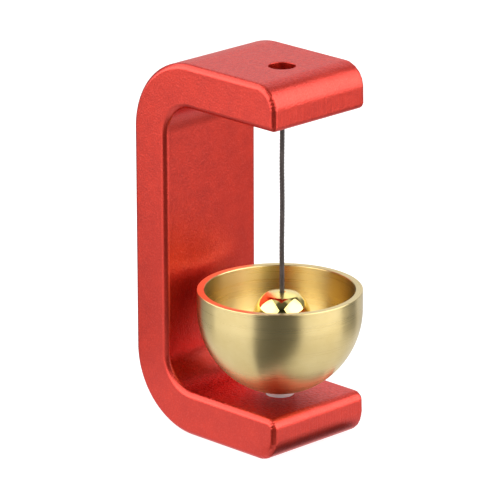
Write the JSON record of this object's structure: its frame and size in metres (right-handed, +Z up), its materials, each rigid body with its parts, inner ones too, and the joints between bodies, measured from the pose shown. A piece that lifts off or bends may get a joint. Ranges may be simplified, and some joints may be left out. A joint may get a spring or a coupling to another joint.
{
  "type": "door chime",
  "caption": "Bent flat-bar bracket with a round-bottomed brass bowl on its lower arm and a ball striker hanging on a cord from its upper arm.",
  "frame": {"origin": "middle of the bottom of the whole object's box, on the flat underside of the lower arm", "axes": "+Z up, along the cord; -Y the way the two arms point; +Y out of the flat back face; X across the width of the bar"},
  "size_m": [0.04, 0.0544, 0.0935],
  "materials": {
    "red_anodised_aluminium": "fine bead-blasted, red anodised, satin",
    "nickel_plated_magnet": "nickel plated",
    "satin_brass": "turned and satin brushed",
    "polished_brass": "mirror polished",
    "translucent_nylon": "natural, slightly translucent",
    "silicone": "matt, soft",
    "zinc_plated_steel": "zinc plated",
    "waxed_cord": "twisted and waxed"
  },
  "bodies": {
    "frame": {"bracket": "red_anodised_aluminium", "magnet_upper": "nickel_plated_magnet", "magnet_lower": "nickel_plated_magnet", "bowl": "satin_brass", "bowl_spacer": "translucent_nylon", "bowl_gasket": "silicone", "bowl_washer": "zinc_plated_steel", "bowl_nut": "zinc_plated_steel", "bowl_screw": "zinc_plated_steel"},
    "hanger": {"cord_stop": "satin_brass", "cord_anchor_knot": "waxed_cord"},
    "striker": {"cord": "waxed_cord", "striker_ball": "polished_brass", "cord_end_knot": "waxed_cord"}
  },
  "joints": [
    {"name": "cord_twist", "type": "hinge", "parent": "frame", "child": "hanger", "pos_m": [0, -0.00795, 0.0835], "axis": [0, 0, 1], "continuous": true},
    {"name": "striker_swing", "type": "hinge", "parent": "hanger", "child": "striker", "pos_m": [0, -0.00795, 0.0835], "axis": [1, 0, 0], "range_deg": [-11.3, 11.3]}
  ]
}
